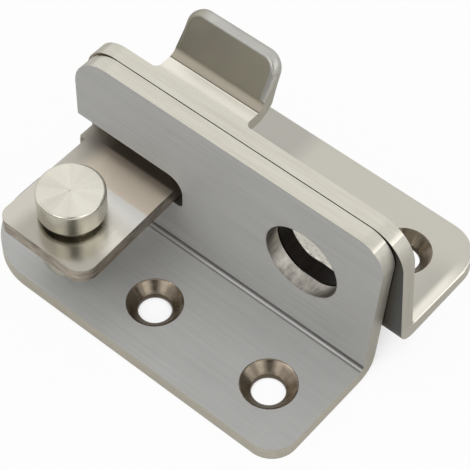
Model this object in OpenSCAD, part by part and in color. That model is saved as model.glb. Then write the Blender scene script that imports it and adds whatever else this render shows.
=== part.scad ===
// Padlockable slide bolt made from bent stainless sheet.
//
// Two angle plates stand back to back. The front bracket is screwed down. The bolt plate behind it
// slides along -X, carrying its tongue out of the open slot, and a padlock through both plates locks
// them. A turned knob and its collar clamp the tongue from both sides.
//
// Frame: X along the plates, Y backwards, Z up. The origin is midway between the front screws, on the
// face that the front flange rests on.

/* [Sheet] */
// Thickness of both plates
sheet_t = 2.7; // [2:0.1:3]
// Inside radius of the bends
bend_ri = 0.8; // [0.5:0.1:1.5]
// Running clearance between the two uprights
plate_gap = 0.35; // [0.3:0.05:0.6]
// Height of both uprights above the base
upright_h = 33.3; // [31:0.1:36]

/* [Screws] */
// Distance between the two screws of a flange
screw_pitch = 23.4; // [20:0.1:26]
// Diameter of the screw holes
screw_d = 5.5; // [4:0.1:6]
// Diameter of the countersinks, which are 90 degrees
sink_d = 9; // [8:0.1:10]

/* [Front bracket] */
// From the screw row to the face of the upright
face_y = 11.5; // [10:0.1:14]
// From the screw row to the front edge of the flange
flange_reach = 9.8; // [8:0.1:12]
// Left end of the flange
flange_left = -43.1; // [-46:0.1:-41]
// Right end of the flange
flange_right = 21.2; // [20:0.1:24]
// Left end of the upright
upright_left = -37.9; // [-40:0.1:-36]
// How much further right the upright reaches at its top
upright_flare = 1.3; // [0:0.1:2]
// Radius of the flange's front left corner
flange_left_r = 12; // [8:0.5:13]
// Radius of the flange's front right corner
flange_right_r = 4.7; // [2:0.1:6]

/* [Padlock] */
// Diameter of the padlock hole through both uprights
padlock_d = 13.5; // [8:0.1:14]
// Centre of the padlock hole along X
padlock_x = 7.9; // [4:0.1:10]
// Centre of the padlock hole above the base
padlock_z = 19; // [17:0.1:21]

/* [Slot] */
// Height of the slot's lower edge
slot_z = 12.3; // [11:0.1:12.3]
// Height of the slot's opening
slot_h = 6.3; // [5:0.1:7]
// Closed end of the slot
slot_end = -15.8; // [-16.5:0.1:-14]

/* [Bolt plate] */
// Height of the rear flange's underside
rear_flange_z = 9.4; // [6:0.1:11]
// From the rear upright's back face to the rear flange's edge
rear_flange_len = 20; // [18:0.1:24]
// From the rear upright's back face to the rear screw row
rear_screw_y = 10.5; // [9:0.1:12]
// Centre of the right rear screw
rear_screw_x = 15.7; // [14:0.1:17]
// Distance between the two rear screws
rear_screw_pitch = 44; // [40:0.5:46]
// Right end of the rear flange
rear_flange_right = 25.2; // [24:0.1:27]
// How much further left the rear upright ends at its top
rear_taper = 1.1; // [0:0.1:2]

/* [Tongue] */
// Left side of the tongue
tongue_left = -35.3; // [-36:0.1:-34]
// Right side of the tongue at its front end
tongue_right = -17; // [-18:0.1:-16.9]
// Clearance under the tongue in the slot
tongue_clear = 0.3; // [0.3:0.05:0.6]
// Front edge of the tongue
tongue_front = -10.2; // [-12:0.1:-9]

/* [Finger tab] */
// Left side of the finger tab
tab_left = -25.8; // [-28:0.1:-24]
// Width of the finger tab
tab_w = 17.6; // [14:0.1:20]
// From the rear upright's back face to the tab's bend
tab_reach = 4; // [3:0.1:8]
// Length of the tab, along its slope
tab_len = 8.7; // [6:0.1:14]
// How far the tab leans back from upright, in degrees
tab_lean = 27; // [0:1:35]
// Thickness of the tab, which is ground thinner than the sheet
tab_t = 2.4; // [1.8:0.1:2.7]
// Inside radius of the tab's bend
tab_ri = 2; // [0.5:0.1:3]

/* [Knob] */
// Axis of the knob along X
knob_x = -26.7; // [-28:0.1:-25]
// Axis of the knob along Y
knob_y = -2; // [-3:0.1:0]
// Diameter of the knob's head and of its collar
knob_d = 11.1; // [9:0.1:12]
// Height of the knob's head
knob_h = 4.7; // [3:0.1:7]
// Height of the neck between the head and the tongue
neck_h = 1; // [0.6:0.1:2]
// Diameter of the neck
neck_d = 8; // [7:0.1:9]
// Diameter of the shank through the tongue
shank_d = 6; // [4:0.1:6]
// Height of the collar under the tongue
collar_h = 7.6; // [4:0.1:9]

/* [Hidden] */
$fn = 96;
steel = [0.72, 0.71, 0.69];
turned_steel = [0.80, 0.79, 0.75];

fit_clear = 0.1;                      // the shank's clearance, all round
shank_grip = 5;                       // how deep the shank goes into the collar
edge_r = 0.5;                         // rounded edges of the turned pieces
dimple_d = 1.2;                       // centre mark on the knob's face
bend_ro = bend_ri + sheet_t;
sink_h = (sink_d - screw_d) / 2;
slot_r = 3;                           // upper inner corner of the slot
slot_low_r = 1;                       // lower inner corner of the slot
rear_y = face_y + sheet_t + plate_gap;
rear_back_y = rear_y + sheet_t;
tongue_z = slot_z + tongue_clear;
tongue_top = tongue_z + sheet_t;
tongue_root_left = tongue_left - 1.2; // the tongue is wider where it leaves the slot
tongue_root_right = tongue_right - 0.6;
root_front = face_y - 1.2;
rear_right = rear_flange_right - rear_taper;
eps = 0.01;

// A straight run along X of a profile drawn in the YZ plane.
module along_x(x0, x1) {
    translate([x0, 0, 0]) rotate([90, 0, 90]) linear_extrude(x1 - x0) children();
}

// A slab standing in the XZ plane, from y0 backwards, of an outline drawn in X and Z.
module standing(y0, depth) {
    translate([0, y0 + depth, 0]) rotate([90, 0, 0]) linear_extrude(depth) children();
}

// Cross section of a bent sheet: the upright's face is at 0, the flange reaches to -reach.
module bent_section(reach, height, t, ri, ro) {
    difference() {
        union() {
            translate([-reach, 0]) square([reach + t, t]);
            square([t, height]);
            translate([-ri, 0]) square([ri + t / 2, t + ri]);
        }
        translate([-ri, t + ri]) circle(ri);
        difference() {
            translate([t - ro, -1]) square([ro + 1, ro + 1]);
            translate([t - ro, ro]) circle(ro);
        }
    }
}

// Screw hole with its countersink, for a flange whose underside is at z0.
module screw_hole(x, y, z0) {
    translate([x, y, z0 - 1]) cylinder(h = sheet_t + 2, d = screw_d);
    translate([x, y, z0 + sheet_t - sink_h])
        cylinder(h = sink_h + eps, d1 = screw_d, d2 = sink_d + 2 * eps);
}

module padlock_hole() {
    translate([padlock_x, face_y - 1, padlock_z]) rotate([-90, 0, 0])
        cylinder(h = rear_back_y - face_y + 2, d = padlock_d);
}

// Outline of an upright: its lower end is flat and runs from x0 to x1, and its top ends at x2.
module upright_outline(x0, x1, x2, z0, left_r, right_r) {
    hull() {
        translate([x0, z0]) square([x1 - x0, eps]);
        translate([x0 + left_r, upright_h - left_r]) circle(left_r);
        translate([x2 - right_r, upright_h - right_r]) circle(right_r);
    }
}

// Outline of the front flange. It is wider than the bend, whose blank starts at its back edge.
module front_flange_outline() {
    back_y = face_y - bend_ri;
    back_r = 5;
    hull() {
        translate([flange_left + flange_left_r, flange_left_r - flange_reach]) circle(flange_left_r);
        translate([flange_right - flange_right_r, flange_right_r - flange_reach])
            circle(flange_right_r);
        translate([flange_left + back_r, back_y - back_r]) circle(back_r);
        translate([flange_right - 1, back_y - 1]) square(1);
    }
    translate([upright_left, 0]) square([flange_right - upright_left, face_y + bend_ro]);
}

// Slot for the tongue, open at the upright's left end.
module slot() {
    len = slot_end - upright_left + 1;
    standing(face_y - 1, sheet_t + 2) translate([upright_left - 1, slot_z]) difference() {
        square([len, slot_h]);
        difference() {
            translate([len - slot_r, slot_h - slot_r]) square(slot_r + 1);
            translate([len - slot_r, slot_h - slot_r]) circle(slot_r);
        }
        difference() {
            translate([len - slot_low_r, -1]) square(slot_low_r + 1);
            translate([len - slot_low_r, slot_low_r]) circle(slot_low_r);
        }
    }
}

module front_bracket() {
    color(steel) difference() {
        intersection() {
            along_x(flange_left - 1, flange_right + 3) translate([face_y, 0])
                bent_section(face_y + flange_reach + 1, upright_h, sheet_t, bend_ri, bend_ro);
            union() {
                linear_extrude(sheet_t + bend_ri) front_flange_outline();
                standing(face_y - bend_ri, sheet_t + bend_ri + 1)
                    upright_outline(upright_left, flange_right, flange_right + upright_flare,
                                    sheet_t + bend_ri - eps, 7, 5);
            }
        }
        for (side = [-1, 1]) screw_hole(side * screw_pitch / 2, 0, 0);
        padlock_hole();
        slot();
    }
}

// Rear upright and flange, bent backwards.
module rear_angle() {
    flange_r = 6.3;
    depth = rear_flange_len + sheet_t;
    width = rear_flange_right - upright_left;
    intersection() {
        along_x(upright_left - 1, rear_flange_right + 1) translate([rear_back_y, rear_flange_z])
            mirror([1, 0]) bent_section(rear_flange_len + 1, upright_h - rear_flange_z, sheet_t,
                                        bend_ri, bend_ro);
        union() {
            translate([upright_left, rear_y, rear_flange_z]) linear_extrude(sheet_t + bend_ri) hull() {
                square([width, 1]);
                for (x = [flange_r, width - flange_r]) translate([x, depth - flange_r]) circle(flange_r);
            }
            standing(rear_y - 1, sheet_t + bend_ri + 1)
                upright_outline(upright_left, rear_flange_right, rear_right,
                                rear_flange_z + sheet_t + bend_ri - eps, 6, 6.5);
        }
    }
}

// Tongue, welded to the front of the rear upright with a small fillet above it.
module tongue() {
    front_left_r = 2.3;
    front_right_r = 3;
    root_w = tongue_root_right - tongue_root_left;
    translate([0, 0, tongue_z]) linear_extrude(sheet_t) {
        hull() {
            translate([tongue_left + front_left_r, tongue_front + front_left_r]) circle(front_left_r);
            translate([tongue_right - front_right_r, tongue_front + front_right_r])
                circle(front_right_r);
            translate([tongue_left, root_front]) square([tongue_root_right - tongue_left, 1]);
        }
        translate([tongue_root_left, root_front]) square([root_w, rear_y + sheet_t / 2 - root_front]);
    }
    along_x(tongue_root_left, tongue_root_right) translate([rear_y, tongue_top]) difference() {
        translate([-bend_ri, -eps]) square(bend_ri + eps);
        translate([-bend_ri, bend_ri]) circle(bend_ri);
    }
}

// Profile of the tab in the YZ plane: a shelf that ends at 0, a bend and a blade that leans back.
module tab_profile(reach, len, t, ri, lean) {
    c = ri * tan((90 - lean) / 2);
    far = 3 * (ri + t);
    translate([-reach, -t]) square([reach - c + eps, t]);
    rotate(-lean) translate([0, c - eps]) square([t, len - c + eps]);
    translate([-c, ri]) intersection() {
        difference() {
            circle(ri + t);
            circle(ri);
        }
        polygon([[0, 0], for (a = [-90, -45 - lean / 2, -lean]) far * [cos(a), sin(a)]]);
    }
}

// Finger tab, on a shelf that is level with the top of the rear upright.
module finger_tab() {
    top_r = 3;
    bend_y = rear_back_y + tab_reach;
    intersection() {
        along_x(tab_left, tab_left + tab_w) translate([bend_y, upright_h])
            tab_profile(tab_reach + 1, tab_len, tab_t, tab_ri, tab_lean);
        translate([0, bend_y, upright_h]) rotate([-tab_lean, 0, 0]) standing(-3 * tab_reach, 6 * tab_reach)
            hull() {
                translate([tab_left, -3 * tab_reach]) square([tab_w, 1]);
                for (x = [tab_left + top_r, tab_left + tab_w - top_r])
                    translate([x, tab_len - top_r]) circle(top_r);
            }
    }
    // small fillets where the shelf meets the upright
    translate([0, rear_back_y, upright_h - tab_t]) linear_extrude(tab_t) difference() {
        translate([tab_left - 1, -eps]) square([tab_w + 2, 1 + eps]);
        for (x = [tab_left - 1, tab_left + tab_w + 1]) translate([x, 1]) circle(1);
    }
}

module bolt_plate() {
    color(steel) difference() {
        union() {
            rear_angle();
            tongue();
            finger_tab();
        }
        for (x = [rear_screw_x, rear_screw_x - rear_screw_pitch])
            screw_hole(x, rear_back_y + rear_screw_y, rear_flange_z);
        padlock_hole();
        translate([knob_x, knob_y, tongue_z - 1])
            cylinder(h = sheet_t + 2, d = shank_d + 2 * fit_clear);
    }
}

// Half profile of a turned disc with rounded edges, standing on the axis.
module turned_disc(d, h) {
    r = d / 2;
    square([r - edge_r, h]);
    translate([0, edge_r]) square([r, h - 2 * edge_r]);
    for (z = [edge_r, h - edge_r]) translate([r - edge_r, z]) circle(edge_r);
}

module knob() {
    head_z = tongue_top + neck_h;
    color(turned_steel) translate([knob_x, knob_y, 0]) difference() {
        rotate_extrude() intersection() {
            union() {
                translate([0, head_z]) turned_disc(knob_d, knob_h);
                translate([0, tongue_top]) square([neck_d / 2, neck_h + edge_r]);
                translate([0, tongue_z - shank_grip])
                    square([shank_d / 2, shank_grip + sheet_t + eps]);
            }
            translate([0, -50]) square([knob_d, 100]);
        }
        translate([0, 0, head_z + knob_h - 0.3]) cylinder(h = 0.3 + eps, d1 = 0.2, d2 = dimple_d);
    }
}

module knob_collar() {
    color(turned_steel) translate([knob_x, knob_y, tongue_z - collar_h]) difference() {
        rotate_extrude() intersection() {
            turned_disc(knob_d, collar_h);
            translate([0, -1]) square([knob_d, collar_h + 2]);
        }
        translate([0, 0, collar_h - shank_grip - 0.5])
            cylinder(h = shank_grip + 1, d = shank_d + 2 * fit_clear);
    }
}

front_bracket();
bolt_plate();
knob();
knob_collar();
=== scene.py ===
# %% [markdown]
# # A padlockable slide bolt, finished in brushed stainless steel
#
# The latch is two bent plates back to back, with a turned knob clamped through the tongue of the
# rear one. The CAD frame gives every piece its exact shape and place. This lesson gives each piece
# what a drawing leaves out: edges that were broken with a file, the long scratches of the brushing
# belt, the rings of the lathe, and light that lets steel look like steel.

# %% Load the frame
import math

import bmesh
import bpy
from mathutils import Matrix, Vector


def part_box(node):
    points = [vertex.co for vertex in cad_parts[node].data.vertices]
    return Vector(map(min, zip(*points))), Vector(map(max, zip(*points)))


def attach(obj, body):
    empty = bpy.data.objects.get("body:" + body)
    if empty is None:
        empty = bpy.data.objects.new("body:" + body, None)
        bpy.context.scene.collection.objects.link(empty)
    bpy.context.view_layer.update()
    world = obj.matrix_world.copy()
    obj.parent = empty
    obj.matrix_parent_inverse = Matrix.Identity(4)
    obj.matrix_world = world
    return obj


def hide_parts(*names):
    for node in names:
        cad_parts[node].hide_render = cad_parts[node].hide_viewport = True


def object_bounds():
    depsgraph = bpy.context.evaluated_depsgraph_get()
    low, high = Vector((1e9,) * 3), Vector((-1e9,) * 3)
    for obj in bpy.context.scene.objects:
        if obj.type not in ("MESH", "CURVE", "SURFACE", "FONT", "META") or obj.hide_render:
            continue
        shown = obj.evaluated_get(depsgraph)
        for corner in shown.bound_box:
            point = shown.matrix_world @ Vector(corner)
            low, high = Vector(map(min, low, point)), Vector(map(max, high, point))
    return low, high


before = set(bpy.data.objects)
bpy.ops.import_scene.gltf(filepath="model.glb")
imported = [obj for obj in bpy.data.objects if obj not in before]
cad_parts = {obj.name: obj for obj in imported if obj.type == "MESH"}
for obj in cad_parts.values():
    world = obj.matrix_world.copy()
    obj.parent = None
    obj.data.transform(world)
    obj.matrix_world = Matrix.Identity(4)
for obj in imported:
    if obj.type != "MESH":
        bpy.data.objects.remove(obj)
cad_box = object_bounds()
scene = bpy.context.scene
MM = 0.001
print("pieces in the frame:", sorted(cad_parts))

# %% [markdown]
# The camera stands where the photographer's did. Its place and lens were solved from the edges and
# holes of the latch, so they are kept as plain numbers: an azimuth, an elevation, a slight roll, the
# point looked at and the distance. The photograph is square and 470 pixels wide.

# %% Camera
PHOTO_PX = 470
FOCAL_PX = 1873
SENSOR = 36
AZIMUTH, ELEVATION, ROLL = 39.07, 53.12, 1.29
LOOK_AT = Vector((-11.93, 20.04, 0)) * MM
DISTANCE = 308.4 * MM
NEAREST_SEEN = 0.01

az, el, roll = (math.radians(a) for a in (AZIMUTH, ELEVATION, ROLL))
forward = Vector((-math.sin(az) * math.cos(el), math.cos(az) * math.cos(el), -math.sin(el)))
level_right = forward.cross(Vector((0, 0, 1))).normalized()
level_up = level_right.cross(forward)
right = level_right * math.cos(roll) + level_up * math.sin(roll)
up = level_up * math.cos(roll) - level_right * math.sin(roll)

camera_data = bpy.data.cameras.new("camera")
camera = bpy.data.objects.new("camera", camera_data)
scene.collection.objects.link(camera)
camera_data.sensor_width = SENSOR
camera_data.lens = SENSOR * FOCAL_PX / PHOTO_PX
camera_data.clip_start = NEAREST_SEEN
turn = Matrix((right, up, -forward)).transposed().to_4x4()
camera.matrix_world = Matrix.Translation(LOOK_AT - forward * DISTANCE) @ turn
scene.camera = camera
scene.view_settings.view_transform = "Standard"
print("lens %.1f mm, camera at %s" % (camera_data.lens, tuple(round(v, 3) for v in camera.location)))

# %% [markdown]
# Colours are written as the hex values that a paint program shows, and one function turns them to the
# linear numbers that the renderer works in. Another adds a node with its settings and its links, so
# that a material reads from top to bottom like a recipe.


# %% Helpers for colours and nodes
def linear(hex_colour):
    channels = [int(hex_colour[i:i + 2], 16) / 255 for i in (1, 3, 5)]
    return tuple(c / 12.92 if c <= 0.04045 else ((c + 0.055) / 1.055) ** 2.4
                 for c in channels) + (1,)


def add(tree, kind, inputs=None, **settings):
    node = tree.nodes.new("ShaderNode" + kind)
    for name, value in settings.items():
        setattr(node, name, value)
    for name, value in (inputs or {}).items():
        if isinstance(value, bpy.types.NodeSocket):
            tree.links.new(value, node.inputs[name])
        else:
            node.inputs[name].default_value = value
    return node


def new_material(name):
    material = bpy.data.materials.new(name)
    material.use_nodes = True
    tree = material.node_tree
    tree.nodes.clear()
    return material, tree


WHITE = linear("#ffffff")
print("middle grey #808080 in linear numbers:", tuple(round(c, 3) for c in linear("#808080")))

# %% [markdown]
# Steel has almost no colour of its own: it shows the room. The room here is a white photographer's
# tent, so the world is white for the camera and for reflections, and a little darker as a light on
# matt things.

# %% World
WORLD_LIGHT = 0.75
world = bpy.data.worlds.new("white_tent")
scene.world = world
world.use_nodes = True
tree = world.node_tree
tree.nodes.clear()
path = add(tree, "LightPath")
seen = add(tree, "Math", {0: path.outputs["Is Camera Ray"], 1: path.outputs["Is Glossy Ray"]},
           operation="MAXIMUM")
seen_all = add(tree, "Math", {0: seen.outputs[0], 1: path.outputs["Is Transmission Ray"]},
               operation="MAXIMUM")
strength = add(tree, "MapRange", {"Value": seen_all.outputs[0], "To Min": WORLD_LIGHT, "To Max": 1.0})
tent = add(tree, "Background", {"Color": WHITE, "Strength": strength.outputs[0]})
add(tree, "OutputWorld", {"Surface": tent.outputs[0]})
print("world light on matt surfaces:", WORLD_LIGHT)

# %% [markdown]
# The floor is a sheet of white paper. Where the camera looks straight at it, nearly all of its white
# is a plain glow, which makes the open paper as white as the tent. In the narrow gaps under the latch
# little of the room can be seen, so an occlusion node turns the glow down there. In the steel the
# paper shows as ordinary matt paper, with the soft shadow that the latch throws on it.

# %% Floor
FLOOR_SIZE = 3.0
BELOW_LATCH = 0.1 * MM
GLOW_SEEN = 0.95
GAP_REACH = 20 * MM
CLOSED_IN, OPEN_ENOUGH = 0.05, 0.45
DARKEST_GLOW = 0.12

bpy.ops.object.select_all(action="DESELECT")
bpy.ops.mesh.primitive_plane_add(size=FLOOR_SIZE, location=(0, 0, cad_box[0][2] - BELOW_LATCH))
floor = bpy.context.object
floor.name = "floor"
floor_paper, tree = new_material("white_paper")
paper = add(tree, "BsdfDiffuse", {"Color": linear("#e8e6e2")})
open_sky = add(tree, "AmbientOcclusion", {"Distance": GAP_REACH}, samples=12)
brightness = add(tree, "MapRange", {"Value": open_sky.outputs["AO"], "From Min": CLOSED_IN,
                                    "From Max": OPEN_ENOUGH, "To Min": DARKEST_GLOW, "To Max": 1.0},
                 interpolation_type="SMOOTHSTEP")
glow = add(tree, "Emission", {"Color": WHITE, "Strength": brightness.outputs[0]})
path = add(tree, "LightPath")
direct = add(tree, "Math", {0: path.outputs["Is Camera Ray"], 1: path.outputs["Is Transmission Ray"]},
             operation="MAXIMUM")
share = add(tree, "Math", {0: direct.outputs[0], 1: GLOW_SEEN}, operation="MULTIPLY")
both = add(tree, "MixShader", {0: share.outputs[0], 1: paper.outputs[0], 2: glow.outputs[0]})
add(tree, "OutputMaterial", {"Surface": both.outputs[0]})
floor.data.materials.append(floor_paper)
print("floor %.1f m wide at z %.2f mm" % (FLOOR_SIZE, floor.location.z / MM))

# %% [markdown]
# The tent gives most of the light, and six soft lamps bring out the shapes. One stands behind and
# one at either side, two stand beside the camera, and the last one, at the front on the left, will
# light the front bracket alone. All are square, wide and weak, and aimed at the latch. Places are in
# metres.

# %% Lamps
AIM = Vector((0, 0.01, 0.01))


def softbox(name, place, size, watts):
    lamp_data = bpy.data.lights.new(name, "AREA")
    lamp_data.shape = "SQUARE"
    lamp_data.size = size
    lamp_data.energy = watts
    lamp = bpy.data.objects.new(name, lamp_data)
    scene.collection.objects.link(lamp)
    direction = AIM - Vector(place)
    lamp.rotation_euler = direction.to_track_quat("-Z", "Y").to_euler()
    lamp.location = place
    print("%s: %.2f m wide, %.2f W" % (name, size, watts))
    return lamp


softbox("back_softbox", (-0.30, 0.45, 0.75), size=0.5, watts=0.08)
softbox("right_softbox", (0.60, 0.38, 0.40), size=0.35, watts=0.35)
softbox("side_softbox", (-0.60, -0.25, 0.45), size=0.4, watts=0.10)
softbox("left_of_camera", (0.01, -0.47, 0.37), size=0.22, watts=0.24)
softbox("right_of_camera", (0.46, -0.11, 0.37), size=0.22, watts=0.24)
bracket_lamp = softbox("front_left_softbox", (-0.265, -0.326, 0.56), size=0.30, watts=1.0)

# %% [markdown]
# Steel in a white tent looks like white plastic until something dark is there to reflect. A
# photographer lays dark cards beside the object, out of the picture. These are only seen in
# reflections: they cast no shadow and the camera doesn't see them.

# %% Dark cards
card_grey, tree = new_material("dark_card")
card_surface = add(tree, "BsdfDiffuse", {"Color": linear("#3a3733")})
add(tree, "OutputMaterial", {"Surface": card_surface.outputs[0]})


def dark_card(name, place, size, degrees):
    bpy.ops.object.select_all(action="DESELECT")
    bpy.ops.mesh.primitive_plane_add(size=1, location=place,
                                     rotation=[math.radians(angle) for angle in degrees])
    card = bpy.context.object
    card.name = name
    card.scale = (*size, 1)
    card.data.materials.append(card_grey)
    card.visible_camera = card.visible_diffuse = card.visible_shadow = False
    card.visible_transmission = False


dark_card("card_before", (-0.10, -0.28, 0.055), size=(0.5, 0.10), degrees=(90, 0, 0))
dark_card("card_by_camera", (0.20, -0.245, 0.34), size=(0.15, 0.30), degrees=(45, 0, 39))

# %% [markdown]
# No real edge is perfectly sharp, and on metal a broken edge is what catches the light. Each piece is
# a copy of its CAD solid. The copy's loose triangles are merged, its flat faces are joined, and its
# sharp edges are then bevelled as a file would, with weighted normals so that the flats stay flat.

# %% Helpers for dressing a solid
SAME_POINT = 0.002 * MM
SAME_FLAT = math.radians(0.3)
STAYS_SHARP = math.radians(32)
UV_TILE = 20 * MM


def pick(piece):
    bpy.ops.object.select_all(action="DESELECT")
    piece.select_set(True)
    bpy.context.view_layer.objects.active = piece


def copy_of_solid(node, name):
    pick(bpy.data.objects[node])
    bpy.ops.object.duplicate()
    piece = bpy.context.object
    piece.name = name
    bpy.ops.object.mode_set(mode="EDIT")
    bpy.ops.mesh.select_all(action="SELECT")
    bpy.ops.mesh.remove_doubles(threshold=SAME_POINT)
    bpy.ops.mesh.dissolve_limited(angle_limit=SAME_FLAT)
    bpy.ops.object.mode_set(mode="OBJECT")
    print("%s: %d faces" % (name, len(piece.data.polygons)))
    return piece


def smooth_flats(piece):
    pick(piece)
    bpy.ops.object.shade_smooth_by_angle(angle=STAYS_SHARP)
    bpy.ops.object.modifier_add(type="WEIGHTED_NORMAL")
    piece.modifiers[-1].keep_sharp = True
    bpy.ops.object.modifier_apply(modifier=piece.modifiers[-1].name)


def unwrap_along_axes(piece):
    pick(piece)
    bpy.ops.object.mode_set(mode="EDIT")
    bpy.ops.mesh.select_all(action="SELECT")
    bpy.ops.uv.cube_project(cube_size=UV_TILE)
    bpy.ops.object.mode_set(mode="OBJECT")


# %% [markdown]
# A file touches some edges more than others, so each kind has a width in millimetres and a number of
# segments. Holes are only deburred, and the two faces that slide on each other keep the crispest
# edges. A test on an edge's middle chooses the edges. Blender shortens a bevel where it would run
# into its neighbour. That is switched off for a rim made of many short edges, where a shortened bevel
# would leave a step.

# %% Helper for filing edges
HOLE_EDGE = (0.15, 2)
PLAIN_EDGE = (0.38, 4)
GAP_EDGE = (0.12, 2)
RIM_EDGE = (0.45, 4)
TAB_RIM = (1.0, 7)
TURNED_EDGE = (0.08, 2)


def file_edges(piece, edge_kind, chosen, sharper_than=30, clamp=True):
    width, segments = edge_kind
    pick(piece)
    bpy.ops.object.mode_set(mode="EDIT")
    bpy.ops.mesh.select_mode(type="EDGE")
    bpy.ops.mesh.select_all(action="DESELECT")
    mesh = bmesh.from_edit_mesh(piece.data)
    count = 0
    for edge in mesh.edges:
        if len(edge.link_faces) != 2 or edge.calc_face_angle() < math.radians(sharper_than):
            continue
        middle = (edge.verts[0].co + edge.verts[1].co) / 2 / MM
        if chosen(middle):
            edge.select_set(True)
            count += 1
    bmesh.update_edit_mesh(piece.data)
    if count:
        bpy.ops.mesh.bevel(offset=width * MM, segments=segments, affect="EDGES", clamp_overlap=clamp)
    bpy.ops.object.mode_set(mode="OBJECT")
    print("%s: %d edges filed to %.2f mm" % (piece.name, count, width))


# %% [markdown]
# A brushing belt leaves scratches that run along the plate. Real ones are a few hundredths of a
# millimetre wide, too fine for a picture of this size, so they are drawn a fifth to a third of a
# millimetre wide and about a centimetre long. The noise that draws them is squeezed across and
# stretched along. A larger noise gathers them into streaks, and a cloudy one makes some places a
# little smoother than others. The scratches spread a highlight sideways, which is what the
# anisotropy does.
#
# A plate is not one colour from end to end, because it shows another part of the room at each
# place. What the room of this scene doesn't give is painted on as a tint that fades in along an
# axis: painted reflections, highlights and shade.


# %% Helpers for places on a plate
def fade_along(tree, place, axis, start, stop):
    """0 up to start and 1 from stop, both in mm along the axis."""
    split = add(tree, "SeparateXYZ", {"Vector": place})
    return add(tree, "MapRange", {"Value": split.outputs["XYZ".index(axis)], "From Min": start * MM,
                                  "From Max": stop * MM}, interpolation_type="SMOOTHSTEP").outputs[0]


def tinted(tree, place, colour, tints):
    """tints: a colour each, with the axis, start and stop of its fade."""
    for tint, *where in tints:
        share = fade_along(tree, place, *where)
        colour = add(tree, "Mix", {0: share, 6: colour, 7: linear(tint)}, data_type="RGBA").outputs[2]
    return colour


# %% [markdown]
# Where the sheet was squeezed by the press it is pitted as well. The pits are a coarser noise, much
# deeper than the scratches. The belt never touched their insides, so those have one plain colour.

# %% Helper for pitted steel
PIT_SIZE = 0.8 * MM
PIT_DEPTH = 70.0
PIT_COLOUR = linear("#c0bcb4")
PIT_STARTS, PIT_INSIDE = 0.46, 0.60


def pitted_where(tree, place, colour, height, fades):
    """fades: an axis, a start and a stop each. Pits lie only where all of them have faded in."""
    deep = add(tree, "TexNoise", {"Vector": place, "Scale": 1 / PIT_SIZE, "Detail": 2.0})
    for where in fades:
        deep = add(tree, "Math", {0: deep.outputs[0], 1: fade_along(tree, place, *where)},
                   operation="MULTIPLY")
    inside = add(tree, "MapRange", {"Value": deep.outputs[0], "From Min": PIT_STARTS,
                                    "From Max": PIT_INSIDE})
    colour = add(tree, "Mix", {0: inside.outputs[0], 6: colour, 7: PIT_COLOUR}, data_type="RGBA")
    height = add(tree, "Math", {0: deep.outputs[0], 1: PIT_DEPTH, 2: height},
                 operation="MULTIPLY_ADD")
    return colour.outputs[2], height.outputs[0]


# %% [markdown]
# One recipe makes every finish of the sheet. A light and a dark hex value set how strongly the
# scratches show, and three lengths set which way they run. The noise values lie near the middle of
# their range, so only that middle is spread over the two colours and over the roughness.

# %% Helper for brushed steel
STREAK_SIZE = 2.6
STREAK_SHIFT = (0.37, 1.9, 4.1)
CLOUD_SIZE = 9 * MM
BUMP_HEIGHT = 0.01 * MM
LINES_DARK, LINES_LIGHT = 0.70, 1.30
LEAST_WORN, MOST_WORN = 1.1, 1.9
SMOOTHER, ROUGHER = 0.93, 1.08


def brushed_steel(name, light, dark, along, rough=0.30, depth=0.5, spread=0.6, turned=0.0,
                  tints=(), pitted=(), duller=None):
    """along: a scratch's length in mm along X, Y and Z. depth: the strength of its bump.
    spread: how far the highlight is drawn out. turned: which way, in turns from the UV map's U.
    tints and pitted: where they fade in. duller: an added roughness, with where it fades in."""
    material, tree = new_material(name)
    place = add(tree, "TexCoord").outputs["Object"]
    fine = add(tree, "Mapping", {"Vector": place, "Scale": [1 / (a * MM) for a in along]})
    scratches = add(tree, "TexNoise", {"Vector": fine.outputs[0], "Scale": 1.0, "Detail": 3.0,
                                       "Roughness": 0.6})
    wide = add(tree, "Mapping", {"Vector": place, "Location": STREAK_SHIFT,
                                 "Scale": [1 / (a * STREAK_SIZE * MM) for a in along]})
    streaks = add(tree, "TexNoise", {"Vector": wide.outputs[0], "Scale": 1.0, "Detail": 2.0})
    cloud = add(tree, "TexNoise", {"Vector": place, "Scale": 1 / CLOUD_SIZE, "Detail": 2.0})

    lines = add(tree, "Math", {0: scratches.outputs[0], 1: streaks.outputs[0]}, operation="ADD")
    tone = add(tree, "MapRange", {"Value": lines.outputs[0], "From Min": LINES_DARK,
                                  "From Max": LINES_LIGHT})
    colour = add(tree, "Mix", {0: tone.outputs[0], 6: linear(dark), 7: linear(light)},
                 data_type="RGBA").outputs[2]
    colour = tinted(tree, place, colour, tints)
    height = lines.outputs[0]
    if pitted:
        colour, height = pitted_where(tree, place, colour, height, pitted)

    worn = add(tree, "Math", {0: lines.outputs[0], 1: cloud.outputs[0]}, operation="ADD")
    roughness = add(tree, "MapRange", {"Value": worn.outputs[0], "From Min": LEAST_WORN,
                                       "From Max": MOST_WORN, "To Min": rough * SMOOTHER,
                                       "To Max": rough * ROUGHER}).outputs[0]
    if duller:
        added, *where = duller
        roughness = add(tree, "Math", {0: fade_along(tree, place, *where), 1: added, 2: roughness},
                        operation="MULTIPLY_ADD").outputs[0]

    bump = add(tree, "Bump", {"Height": height, "Strength": depth, "Distance": BUMP_HEIGHT})
    tangent = add(tree, "Tangent", direction_type="UV_MAP")
    steel = add(tree, "BsdfPrincipled", {"Base Color": colour, "Metallic": 1.0,
                                         "Roughness": roughness, "Anisotropic": spread,
                                         "Anisotropic Rotation": turned,
                                         "Normal": bump.outputs[0], "Tangent": tangent.outputs[0]})
    add(tree, "OutputMaterial", {"Surface": steel.outputs[0]})
    return material
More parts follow.
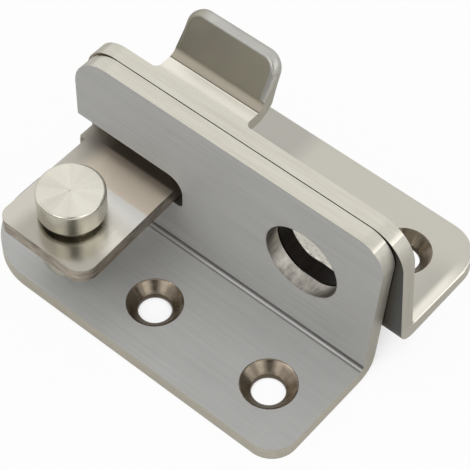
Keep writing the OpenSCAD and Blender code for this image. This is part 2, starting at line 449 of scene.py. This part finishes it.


# %% [markdown]
# The front bracket is a strip of sheet bent to an angle, with two countersunk holes below, the
# padlock's hole and the open slot above. It was satin brushed along its length after bending, which
# leaves a dull, even grey. The inside of the bend is painted darker, as painted shade in the crease.
# The slot was cut by laser, and its walls are painted a dark grey, as painted shade inside the slot.
# The padlock's hole was punched, which tore its wall, and the countersinks' bare metal is painted a
# dark warm brown, as painted shade inside the holes.
#
# Scratches along the UV map's U spread a highlight across U, so the anisotropy gets a quarter turn.

# %% Front bracket's finishes
QUARTER_TURN = 0.25
satin = brushed_steel("satin_brushed_stainless", "#bebebc", "#b2b2b0", (11, 0.22, 0.22),
                      rough=0.70, depth=0.22, turned=QUARTER_TURN)
# Painted shade: the inside of the bend is painted darker than the faces.
bend_shade = brushed_steel("painted_shade_bend_stainless", "#949391", "#838280", (8, 0.4, 0.4),
                           rough=0.45, spread=0.3)
# Painted shade: the slot's walls are painted a dark grey.
slot_wall_shade = brushed_steel("slot_wall_painted_shade_stainless", "#8b8782", "#75716c", (0.7, 3, 0.7), rough=0.45,
                          spread=0.2)
punched = brushed_steel("punched_hole_stainless", "#bbb7af", "#8b857d", (0.6, 1.2, 0.6),
                        rough=0.36, depth=1.6, spread=0.2)
# Painted shade: the countersinks are painted a dark warm brown.
countersink_shade = brushed_steel("countersunk_painted_shade_stainless", "#897e70", "#7b7163", (0.5, 0.5, 0.16),
                        rough=0.26, depth=0.2, spread=0.8, turned=QUARTER_TURN)
print("bracket's finishes:", [m.name for m in (satin, bend_shade, slot_wall_shade, punched, countersink_shade)])

# %% [markdown]
# The outline was ground with a wheel that ran along each edge, so an edge along X, Y or Z has its
# scratches along X, Y or Z. Three versions of one finish give that. The first two are shinier than
# the faces, so they draw a bright line round the plate. The third, on the uprights' ends, is duller,
# and its colour is a little darker, as painted shade on the ends.

# %% Edge finishes
EDGE_TONES = ("#d0cdc2", "#c5c1b5")
# Painted shade: the ends' tones are darker than the other edges'.
END_SHADED_TONES = ("#c6c3ba", "#bcb9b0")
TAB_SHELF_HIGHLIGHT = ("#e3dfd3", "Y", 17.4, 18.6)  # a painted highlight where the top runs back to the finger tab
ground_x = brushed_steel("ground_edge_stainless_x", *EDGE_TONES, (7, 0.4, 0.4), rough=0.26,
                         depth=0.35, spread=0.4, turned=QUARTER_TURN, tints=[TAB_SHELF_HIGHLIGHT])
ground_y = brushed_steel("ground_edge_stainless_y", *EDGE_TONES, (0.4, 7, 0.4), rough=0.28,
                         depth=0.35, spread=0.4, turned=QUARTER_TURN)
ground_z = brushed_steel("ground_edge_stainless_z", *END_SHADED_TONES, (0.4, 0.4, 7), rough=0.50,
                         depth=0.25, spread=0.2)
LOOKS_ALONG_X = 0.6


def ground_edges(y_low, y_high, tab_z):
    """Rules for the edges of a plate whose upright lies from y_low to y_high."""
    def end_of_upright(c, n):
        return abs(n[0]) > LOOKS_ALONG_X and (y_low < c[1] < y_high or c[2] > tab_z)
    return [(ground_z, end_of_upright), (ground_y, lambda c, n: abs(n[0]) > LOOKS_ALONG_X),
            (ground_x, lambda c, n: True)]


print("edge finishes:", [m.name for m in (ground_x, ground_y, ground_z)])

# %% [markdown]
# The faces of a piece are sorted by their place and their normal, and each sort gets its finish. A
# rule is a finish with a test on a face's centre in millimetres and its normal, and the first rule
# that fits decides. A face lies in a plane when its centre is within 0.05 mm of it, and it looks
# straight along an axis when its normal has 0.98 or more of its length that way.

# %% Helpers for sorting faces
CLOSE = 0.05
STRAIGHT = 0.98


def near_axis(point, centre, reach, axis):
    keep = [i for i in range(3) if i != axis]
    return math.dist([point[i] for i in keep], [centre[i] for i in keep]) < reach


def on_plane(value, plane):
    return abs(value - plane) < CLOSE


def runs_along_x(n):
    return abs(n[0]) < CLOSE


def paint(piece, rules):
    piece.data.materials.clear()
    finishes = list(dict.fromkeys(material for material, _ in rules))
    for material in finishes:
        piece.data.materials.append(material)
    counts = [0] * len(finishes)
    for face in piece.data.polygons:
        centre = face.center / MM
        finish = next(material for material, fits in rules if fits(centre, face.normal))
        face.material_index = finishes.index(finish)
        counts[face.material_index] += 1
    print(piece.name, "faces by finish:", dict(zip([m.name for m in finishes], counts)))


# %% [markdown]
# A countersink is turned by its cutter, so its scratches run round the hole. The UV map of its faces
# is laid round the hole as well: U is the way round and V the height.

# %% Helper for laying UVs round a hole
MM_PER_V = 10


def wrap_holes(piece, holes, reach, axis):
    layer = piece.data.uv_layers.active.data
    a, b = [i for i in range(3) if i != axis]
    for face in piece.data.polygons:
        middle = face.center / MM
        for hole in holes:
            if not near_axis(middle, hole, reach, axis):
                continue
            start = math.atan2(middle[b] - hole[b], middle[a] - hole[a])
            for loop in face.loop_indices:
                point = piece.data.vertices[piece.data.loops[loop].vertex_index].co / MM
                angle = math.atan2(point[b] - hole[b], point[a] - hole[a])
                step = (angle - start + math.pi) % (2 * math.pi) - math.pi
                layer[loop].uv = ((start + step) / (2 * math.pi), point[axis] / MM_PER_V)


# %% [markdown]
# The drawing's sizes, in millimetres, find the bracket's faces and edges by their place. A reach is
# the radius of a hole and 0.1 mm more. What lies further forward than 2 mm before the upright's face
# belongs to the flange.

# %% Front bracket's places
SHEET = 2.7
BEND_R = 0.8
BEND_REACH = BEND_R + 2 * CLOSE
FACE_Y = 11.5
TOP_Z = 33.3
FLANGE_END_Y = FACE_Y - 2
ABOVE_FLANGE_Z = SHEET + 1
SCREWS = [(-11.7, 0, 0), (11.7, 0, 0)]
PADLOCK = (7.9, 0, 19)
SINK_REACH, PADLOCK_REACH = 4.6, 6.85
SLOT_LEFT, SLOT_RIGHT = -37.3, -15.5
SLOT_BOTTOM, SLOT_TOP = 12, 18.9
SLOT_MARGIN = 0.2
print("bracket's upright: y %.1f to %.1f mm, top at %.1f mm" % (FACE_Y, FACE_Y + SHEET, TOP_Z))

# %% [markdown]
# The two uprights slide past each other. The solids leave 0.35 mm between them, so that they can move
# freely, but in the photograph the gap is a hairline. So the faces on both sides of it are moved a
# tenth of a millimetre or less towards each other, and 0.17 mm is left.

# %% Front bracket's shape
DRAWN_BACK_Y = FACE_Y + SHEET
BACK_Y = 14.3
SAME_FACE = 0.02 * MM


def shift_face(piece, old_y, new_y):
    for v in piece.data.vertices:
        if abs(v.co.y - old_y * MM) < SAME_FACE:
            v.co.y = new_y * MM


def in_screw_hole(c):
    return c[1] < FLANGE_END_Y and any(near_axis(c, s, SINK_REACH, 2) for s in SCREWS)


def in_lock_hole(c):
    return c[1] > FLANGE_END_Y and near_axis(c, PADLOCK, PADLOCK_REACH, 1)


def in_front_hole(c):
    return in_screw_hole(c) or in_lock_hole(c)


def by_gap_of_front(c):
    return on_plane(c[1], BACK_Y) and c[2] > ABOVE_FLANGE_Z and not in_front_hole(c)


bracket = copy_of_solid("front_bracket", "front_bracket_brushed")
shift_face(bracket, DRAWN_BACK_Y, BACK_Y)
file_edges(bracket, HOLE_EDGE, in_front_hole)
file_edges(bracket, PLAIN_EDGE, lambda c: not (in_front_hole(c) or by_gap_of_front(c)))
file_edges(bracket, GAP_EDGE, by_gap_of_front)
smooth_flats(bracket)
unwrap_along_axes(bracket)
wrap_holes(bracket, SCREWS, SINK_REACH, 2)

# %% [markdown]
# The bracket's skin is both of its faces and the outside of its bend. What no rule claims is outline,
# and falls to the ground edges.


# %% Front bracket's faces
def on_front_skin(c, n):
    upright = abs(n[1]) > STRAIGHT and (on_plane(c[1], FACE_Y) or on_plane(c[1], BACK_Y))
    flange = abs(n[2]) > STRAIGHT and (on_plane(c[2], 0) or on_plane(c[2], SHEET))
    bend = runs_along_x(n) and c[1] > FACE_Y - BEND_R - CLOSE and c[2] < SHEET + BEND_R + CLOSE
    return upright or flange or bend


def in_inner_bend(c, n):
    return runs_along_x(n) and FACE_Y - BEND_REACH < c[1] < FACE_Y and SHEET < c[2] < SHEET + BEND_REACH


def in_slot(c, n):
    inside = FACE_Y + SLOT_MARGIN < c[1] < FACE_Y + SHEET - SLOT_MARGIN
    return inside and SLOT_LEFT < c[0] < SLOT_RIGHT and SLOT_BOTTOM < c[2] < SLOT_TOP


paint(bracket, [
    (punched, lambda c, n: in_lock_hole(c)),
    (countersink_shade, lambda c, n: in_screw_hole(c) and n[2] < STRAIGHT),
    (slot_wall_shade, in_slot),
    (bend_shade, in_inner_bend),
    (satin, on_front_skin),
] + ground_edges(FACE_Y, FACE_Y + SHEET, TOP_Z + 1))
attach(bracket, "bracket")
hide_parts("front_bracket")

# %% [markdown]
# In the photograph the bracket is an even light grey, while the tongue beside it goes from white to
# brown. One lamp can't do both, so the last lamp is linked to the bracket alone. Its first list says
# what it lights, and its second list says what throws a shadow in its light.

# %% Light for the bracket alone
lit_by_it = bpy.data.collections.new("lit_by_the_front_left_softbox")
lit_by_it.objects.link(bracket)
bracket_lamp.light_linking.receiver_collection = lit_by_it
bracket_lamp.light_linking.blocker_collection = lit_by_it

# %% [markdown]
# The bolt plate is the rear angle with the tongue welded to its face and the finger tab bent up from
# its top. Its upright and its raised flange were belt brushed before bending, so they are shinier
# than the bracket. Behind the padlock's hole the flange shows the pits of the press.

# %% Finishes of the upright and the raised flange
belt_brushed = brushed_steel("belt_brushed_stainless", "#cac6bb", "#c2beb2", (12, 0.35, 0.35),
                             rough=0.33, depth=0.35, turned=QUARTER_TURN)
# Painted light on the flange, laid on as tints.
FLANGE_PAINTED_LIGHT = [
    ("#b0ada4", "X", 14, 23),       # painted shade towards the right end
    ("#e6e2d5", "X", 23.0, 24.2),   # a painted highlight along the end itself
    ("#bfbcb2", "Y", 26, 33),       # a little painted shade towards the back
    ("#acaaa2", "X", -6.5, -11),    # painted shade behind the finger tab
]
PITS_BY_UPRIGHT = [("Y", 24, 19), ("X", 15, 11)]  # along the upright, but not at its right end
flange_brushed = brushed_steel("brushed_flange_stainless", "#c8c5bb", "#c0bdb2", (12, 0.35, 0.35),
                               rough=0.30, turned=QUARTER_TURN, tints=FLANGE_PAINTED_LIGHT,
                               pitted=PITS_BY_UPRIGHT)
rough_bend = brushed_steel("crumpled_bend_stainless", "#f0ede6", "#8c877f", (0.6, 0.5, 0.5),
                           rough=0.36, depth=2.2, spread=0.0)
print("finishes:", [m.name for m in (belt_brushed, flange_brushed, rough_bend)])

# %% [markdown]
# The tongue was brushed across, from the weld to its tip, before it was welded on. It is the
# shiniest sheet of the latch, and what it reflects is painted into its colour: a painted highlight
# beside the knob, a warm painted reflection where it meets the upright, and painted shade in the
# slot, towards the tip and at the left side. Beside the upright it is also duller, because the belt
# stopped there.

# %% Finishes of the tongue
# Painted light on the tongue, laid on as tints.
TONGUE_PAINTED_LIGHT = [
    ("#fffdf8", "Y", -0.5, 3.5),    # a painted highlight behind the knob
    ("#f8ebda", "Y", 4.8, 5.4),     # then, with a sharp start, a warmer painted reflection towards the upright
    ("#9c9488", "Y", 11.1, 11.6),   # painted shade inside the slot
    ("#a9a59b", "Y", -2.5, -6.5),   # painted shade towards the tip
    ("#c6c1b7", "X", -30, -33.5),   # and painted shade at the left side
]
tongue_brushed = brushed_steel("cross_brushed_stainless", "#dad6cc", "#d1ccc1", (0.35, 10, 0.35),
                               rough=0.19, depth=0.3, duller=(0.26, "Y", -2.0, 2.5),
                               tints=TONGUE_PAINTED_LIGHT)
tongue_side = brushed_steel("tongue_side_stainless", "#c9c0b3", "#857b70", (2, 2, 0.5), rough=0.42,
                            spread=0.3)
print("finishes:", [m.name for m in (tongue_brushed, tongue_side)])

# %% [markdown]
# The face that slides on the bracket was never brushed. Its colour is painted brown and dark, as
# painted shade between the two plates, darkest where the bend leaves a wedge between them, and a grey
# painted reflection lies at its right end. The wall of the padlock's hole in this plate is painted
# nearly black, as painted shade.

# %% Finishes between the uprights
# Painted light between the uprights, laid on as tints.
GAP_FACE_PAINTED_LIGHT = [
    ("#4a4038", "X", -8, 4),        # painted shade, dark brown, in the right half
    ("#6a6d6c", "X", 21.5, 24.5),   # a grey painted reflection at the right end, which stands out in the light
]
gap_face_shade = brushed_steel("gap_face_painted_shade_stainless", "#b4aa9c", "#9f9587", (3, 0.8, 3), rough=0.35,
                          spread=0.2, tints=GAP_FACE_PAINTED_LIGHT)
# Painted shade: the wall of the padlock's hole is painted nearly black.
lock_hole_shade = brushed_steel("lock_hole_painted_shade_stainless", "#231f1c", "#161412", (0.7, 3, 0.7), rough=0.5,
                           spread=0.2)
print("finishes:", [m.name for m in (gap_face_shade, lock_hole_shade)])

# %% [markdown]
# The finger tab was ground thinner, so it has hardly any scratches left. A painted highlight grows a
# little towards the right, and its rim has painted shade round the left corner. Its bend has a dark
# line painted along the crease, as painted shade.

# %% Finishes of the finger tab
# Painted light on the tab's bend, laid on as tints.
TAB_BEND_PAINTED_LIGHT = [
    ("#9c9687", "Y", 20.9, 21.7),   # fades into the tab
    ("#3a3029", "Y", 20.6, 20.25),  # painted shade in the crease
]
pressed = brushed_steel("pressed_bend_stainless", "#aaa294", "#a49c8d", (5, 0.4, 0.4), rough=0.42,
                        depth=0.2, spread=0.2, tints=TAB_BEND_PAINTED_LIGHT)
tab_satin = brushed_steel("satin_tab_stainless", "#a19c8d", "#9b9687", (4, 4, 4), rough=0.42,
                          depth=0.1, spread=0.2, turned=QUARTER_TURN,
                          tints=[("#aaa595", "X", -21, -11)])
tab_edge = brushed_steel("rolled_tab_edge_stainless", "#c0bfb9", "#b3b2ac", (3, 3, 3), rough=0.40,
                         depth=0.2, spread=0.0, tints=[("#9a9587", "X", -21.5, -25)])
print("finishes:", [m.name for m in (pressed, tab_satin, tab_edge)])

# %% [markdown]
# The plate's sizes are written like the bracket's. Its flange lies 9.4 mm above the bracket's, and
# its screws stand 10.5 mm behind its upright.

# %% Bolt plate's places
PLATE_GAP = 0.35
DRAWN_REAR_Y = DRAWN_BACK_Y + PLATE_GAP
REAR_Y = 14.47
REAR_BACK_Y = DRAWN_REAR_Y + SHEET
REAR_Z = 9.4
REAR_TOP_Z = REAR_Z + SHEET
SCREW_ROW_Y = REAR_BACK_Y + 10.5
REAR_SCREWS = [(15.7, SCREW_ROW_Y, 0), (-28.3, SCREW_ROW_Y, 0)]
LOCK_MARGIN = 1
BEND_END_Y = REAR_BACK_Y + 1.5
BEND_END_Z = REAR_Z + 4
TAB_START_Z = TOP_Z + 1.5
print("gap between the uprights: drawn %.2f mm, shown %.2f mm" % (PLATE_GAP, REAR_Y - BACK_Y))

# %% [markdown]
# The flange's upper rim is filed rounder than the plain edges, and the tab's rim is rounded the most,
# because a finger pushes it.

# %% Bolt plate's shape
def in_rear_screw_hole(c):
    below_tab = c[2] < REAR_TOP_Z + BEND_REACH
    return below_tab and any(near_axis(c, s, SINK_REACH, 2) for s in REAR_SCREWS)


def in_rear_lock_hole(c):
    in_upright = REAR_Y - LOCK_MARGIN < c[1] < REAR_BACK_Y + LOCK_MARGIN
    return in_upright and near_axis(c, PADLOCK, PADLOCK_REACH, 1)


def in_rear_hole(c):
    return in_rear_screw_hole(c) or in_rear_lock_hole(c)


def by_gap_of_rear(c):
    return on_plane(c[1], REAR_Y) and c[2] > BEND_END_Z and not in_rear_hole(c)


def on_flange_rim(c):
    return c[1] > BEND_END_Y and on_plane(c[2], REAR_TOP_Z) and not in_rear_hole(c)


def on_tab(c):
    return c[2] > TAB_START_Z


def on_plain_edge(c):
    return not (in_rear_hole(c) or on_flange_rim(c) or on_tab(c) or by_gap_of_rear(c))


plate = copy_of_solid("bolt_plate", "bolt_plate_brushed")
shift_face(plate, DRAWN_REAR_Y, REAR_Y)
file_edges(plate, HOLE_EDGE, in_rear_hole)
file_edges(plate, RIM_EDGE, on_flange_rim, clamp=False)
file_edges(plate, TAB_RIM, on_tab, clamp=False)
file_edges(plate, GAP_EDGE, by_gap_of_rear)
file_edges(plate, PLAIN_EDGE, on_plain_edge)
smooth_flats(plate)
unwrap_along_axes(plate)
wrap_holes(plate, REAR_SCREWS, SINK_REACH, 2)

# %% [markdown]
# The plate has more sorts of face than the bracket. After the holes come the tongue, which sticks
# out in front of the upright, the face towards the bracket, the bends, the flange and the tab. In the
# tab's bend a face may lean a lot. Above it only the flat counts as the tab's face, so that the
# rolled rim keeps its own finish.

# %% Bolt plate's faces
TONGUE_BACK_Y = REAR_Y - 0.1
TAB_BEND_TOP = 36
TAB_BEND_SLOPE, TAB_FACE_SLOPE = -0.2, -0.87


def on_tongue(c, n):
    return c[1] < TONGUE_BACK_Y and abs(n[2]) > 0.9


def on_tongue_side(c, n):
    return c[1] < TONGUE_BACK_Y and abs(n[2]) < 0.5


def on_gap_side(c, n):
    towards_bracket = n[1] < -0.9 and on_plane(c[1], REAR_Y)
    outer_bend = runs_along_x(n) and n[1] < -0.05 and n[2] < -0.05 and c[2] < BEND_END_Z
    return towards_bracket or outer_bend


def in_rear_bend(c, n):
    inside = REAR_BACK_Y < c[1] < REAR_BACK_Y + BEND_REACH and c[2] < REAR_TOP_Z + 1
    return runs_along_x(n) and inside and n[2] > 0.1


def in_tab_bend(c, n):
    crease = TOP_Z + 0.01 < c[2] < TOP_Z + 1.3
    return runs_along_x(n) and crease and n[1] < -0.05 and n[2] > 0.3


def on_flange(c, n):
    return abs(n[2]) > STRAIGHT and c[2] < REAR_TOP_Z + 0.1 and c[1] > REAR_BACK_Y


def on_tab_face(c, n):
    slope = TAB_FACE_SLOPE if c[2] >= TAB_BEND_TOP else TAB_BEND_SLOPE
    front = c[2] > TOP_Z + 0.1 and n[1] < slope
    back = c[2] > TOP_Z - 3 and n[1] > 0.3 and n[2] < -0.2
    return runs_along_x(n) and (front or back)


def on_rear_skin(c, n):
    upright = n[1] > STRAIGHT and REAR_Z + 2 < c[2] < TOP_Z - 0.3
    low = c[2] < REAR_TOP_Z + BEND_REACH and c[1] < REAR_BACK_Y + BEND_REACH
    return upright or (low and runs_along_x(n)) or on_tab_face(c, n)


paint(plate, [
    (lock_hole_shade, lambda c, n: in_rear_lock_hole(c)),
    (countersink_shade, lambda c, n: in_rear_screw_hole(c) and n[2] < STRAIGHT),
    (tongue_side, on_tongue_side),
    (tongue_brushed, on_tongue),
    (gap_face_shade, on_gap_side),
    (rough_bend, in_rear_bend),
    (pressed, in_tab_bend),
    (flange_brushed, on_flange),
    (tab_satin, lambda c, n: on_tab(c) and on_rear_skin(c, n)),
    (tab_edge, lambda c, n: on_tab(c)),
    (belt_brushed, on_rear_skin),
] + ground_edges(REAR_Y, REAR_BACK_Y, TOP_Z - 3))
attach(plate, "slide")
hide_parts("bolt_plate")

# %% [markdown]
# The knob and its collar come from the lathe. Their marks are rings about the turning axis on the
# flat ends and on the round side, so the noise runs over the distance from the axis and the height,
# and never around. Real rings are finer than a pixel, so these are drawn 0.22 mm apart. Light on a
# turned face gathers into rays from its middle, so a second noise, round the axis, paints some rays a
# little lighter, as a painted sheen, and makes them a little rougher than others.

# %% Turned steel
KNOB_AXIS = (Vector(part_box("knob")[0]) + Vector(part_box("knob")[1])) / 2
RING = 0.22 * MM
RING_SHARE, RING_DEPTH = 0.15, 0.06
RAYS = 1.3
DARK_RAY, LIGHT_RAY = 0.4, 0.7
SMOOTH_RAY, ROUGH_RAY = 0.3, 0.7
SMOOTHEST, ROUGHEST = 0.85, 1.2


def turned_steel(name, light, dark, rough):
    material, tree = new_material(name)
    place = add(tree, "TexCoord").outputs["Object"]
    centred = add(tree, "Mapping", {"Vector": place, "Location": (-KNOB_AXIS[0], -KNOB_AXIS[1], 0)})
    split = add(tree, "SeparateXYZ", {"Vector": centred.outputs[0]})
    flat = add(tree, "CombineXYZ", {"X": split.outputs[0], "Y": split.outputs[1]})
    radius = add(tree, "VectorMath", {0: flat.outputs[0]}, operation="LENGTH")
    rings_at = add(tree, "CombineXYZ", {"X": radius.outputs["Value"], "Y": split.outputs[2]})
    rings = add(tree, "TexNoise", {"Vector": rings_at.outputs[0], "Scale": 1 / RING, "Detail": 3.0})
    around = add(tree, "VectorMath", {0: flat.outputs[0]}, operation="NORMALIZE")
    sheen_rays = add(tree, "TexNoise", {"Vector": around.outputs[0], "Scale": RAYS, "Detail": 2.0})

    # Painted sheen: the rays lighten the colour in sectors round the axis.
    tone = add(tree, "Math", {0: rings.outputs[0], 1: RING_SHARE, 2: sheen_rays.outputs[0]},
               operation="MULTIPLY_ADD")
    spread_tone = add(tree, "MapRange", {"Value": tone.outputs[0], "From Min": DARK_RAY,
                                         "From Max": LIGHT_RAY})
    colour = add(tree, "Mix", {0: spread_tone.outputs[0], 6: linear(dark), 7: linear(light)},
                 data_type="RGBA")
    roughness = add(tree, "MapRange", {"Value": sheen_rays.outputs[0], "From Min": SMOOTH_RAY,
                                       "From Max": ROUGH_RAY, "To Min": rough * SMOOTHEST,
                                       "To Max": rough * ROUGHEST})
    bump = add(tree, "Bump", {"Height": rings.outputs[0], "Strength": RING_DEPTH,
                              "Distance": BUMP_HEIGHT})
    tangent = add(tree, "Tangent", direction_type="RADIAL", axis="Z")
    steel = add(tree, "BsdfPrincipled", {"Base Color": colour.outputs[2], "Metallic": 1.0,
                                         "Roughness": roughness.outputs[0], "Anisotropic": 0.5,
                                         "Anisotropic Rotation": QUARTER_TURN,
                                         "Normal": bump.outputs[0], "Tangent": tangent.outputs[0]})
    add(tree, "OutputMaterial", {"Surface": steel.outputs[0]})
    return material


lathe_turned = turned_steel("lathe_turned_stainless", "#dcd9cd", "#cbc8bb", rough=0.25)
print("turning axis at x %.1f mm, y %.1f mm" % (KNOB_AXIS[0] / MM, KNOB_AXIS[1] / MM))

# %% [markdown]
# The knob is a head on a narrow neck with a small centre mark, and its collar is a plain drum below
# the tongue. The drum and the head have their rounded corners already, so only the sharp edges of the
# neck, the shank and the bore are left to break. The drawn centre mark is deeper than it looks in the
# photograph, and is made shallower.

# %% Knob and collar
MARK_REACH, MARK_DEPTH = 0.9 * MM, 1.0 * MM
DEPTH_KEPT = 0.25


def soften_centre_mark(piece):
    top = max(v.co.z for v in piece.data.vertices)
    for v in piece.data.vertices:
        if near_axis(v.co, KNOB_AXIS, MARK_REACH, 2) and top - v.co.z < MARK_DEPTH:
            v.co.z = top - (top - v.co.z) * DEPTH_KEPT


for node, slot in (("knob", "turned_knob"), ("knob_collar", "turned_collar")):
    piece = copy_of_solid(node, node + "_turned")
    if node == "knob":
        soften_centre_mark(piece)
    file_edges(piece, TURNED_EDGE, lambda c: True, sharper_than=40)
    smooth_flats(piece)
    unwrap_along_axes(piece)
    paint(piece, [(lathe_turned, lambda c, n: True)])
    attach(piece, "slide")
    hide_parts(node)
